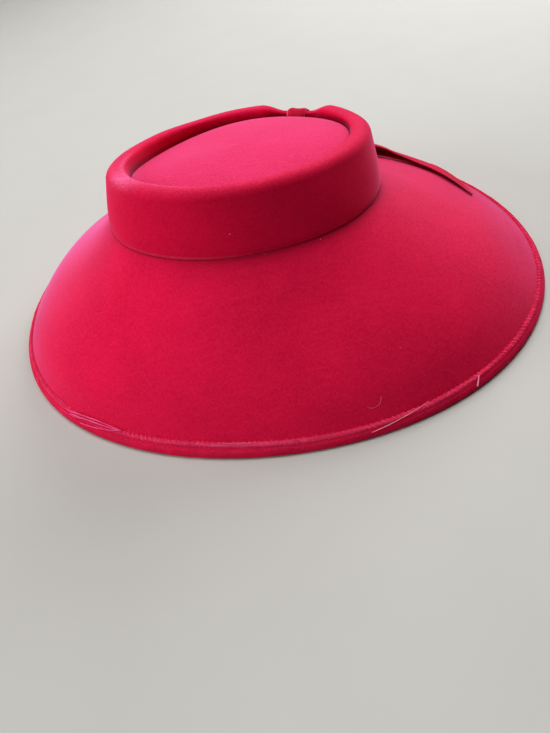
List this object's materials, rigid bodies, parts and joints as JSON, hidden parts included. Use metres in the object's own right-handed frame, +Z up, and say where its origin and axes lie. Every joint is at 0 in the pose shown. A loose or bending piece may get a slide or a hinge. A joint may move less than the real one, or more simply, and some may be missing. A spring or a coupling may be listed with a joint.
{
  "type": "wide-brim hat",
  "caption": "Red velour-felt hat with a shallow crown, rolled rim around a domed tip, very wide down-sloping brim with a bound edge, and a tied strap at the back.",
  "frame": {"origin": "middle of the hat's outline on the surface that the brim's edge rests on", "axes": "+Z up through the crown, +Y to the back where the knot is, -Y to the front, +X to the right seen from the front side looking back"},
  "size_m": [0.3741, 0.3694, 0.1199],
  "materials": {
    "tip_felt": "velour felt, brushed nap",
    "sideband_felt": "velour felt, brushed nap",
    "brim_felt": "velour felt, brushed nap",
    "binding_felt": "folded felt strip, worn along its stitched edge",
    "tie_felt": "cut felt strip"
  },
  "bodies": {
    "root": {"crown_tip": "tip_felt", "sideband": "sideband_felt", "brim": "brim_felt", "brim_binding": "binding_felt", "back_knot": "tie_felt", "bow_tail_right": "tie_felt", "bow_tail_left": "tie_felt"}
  },
  "joints": []
}
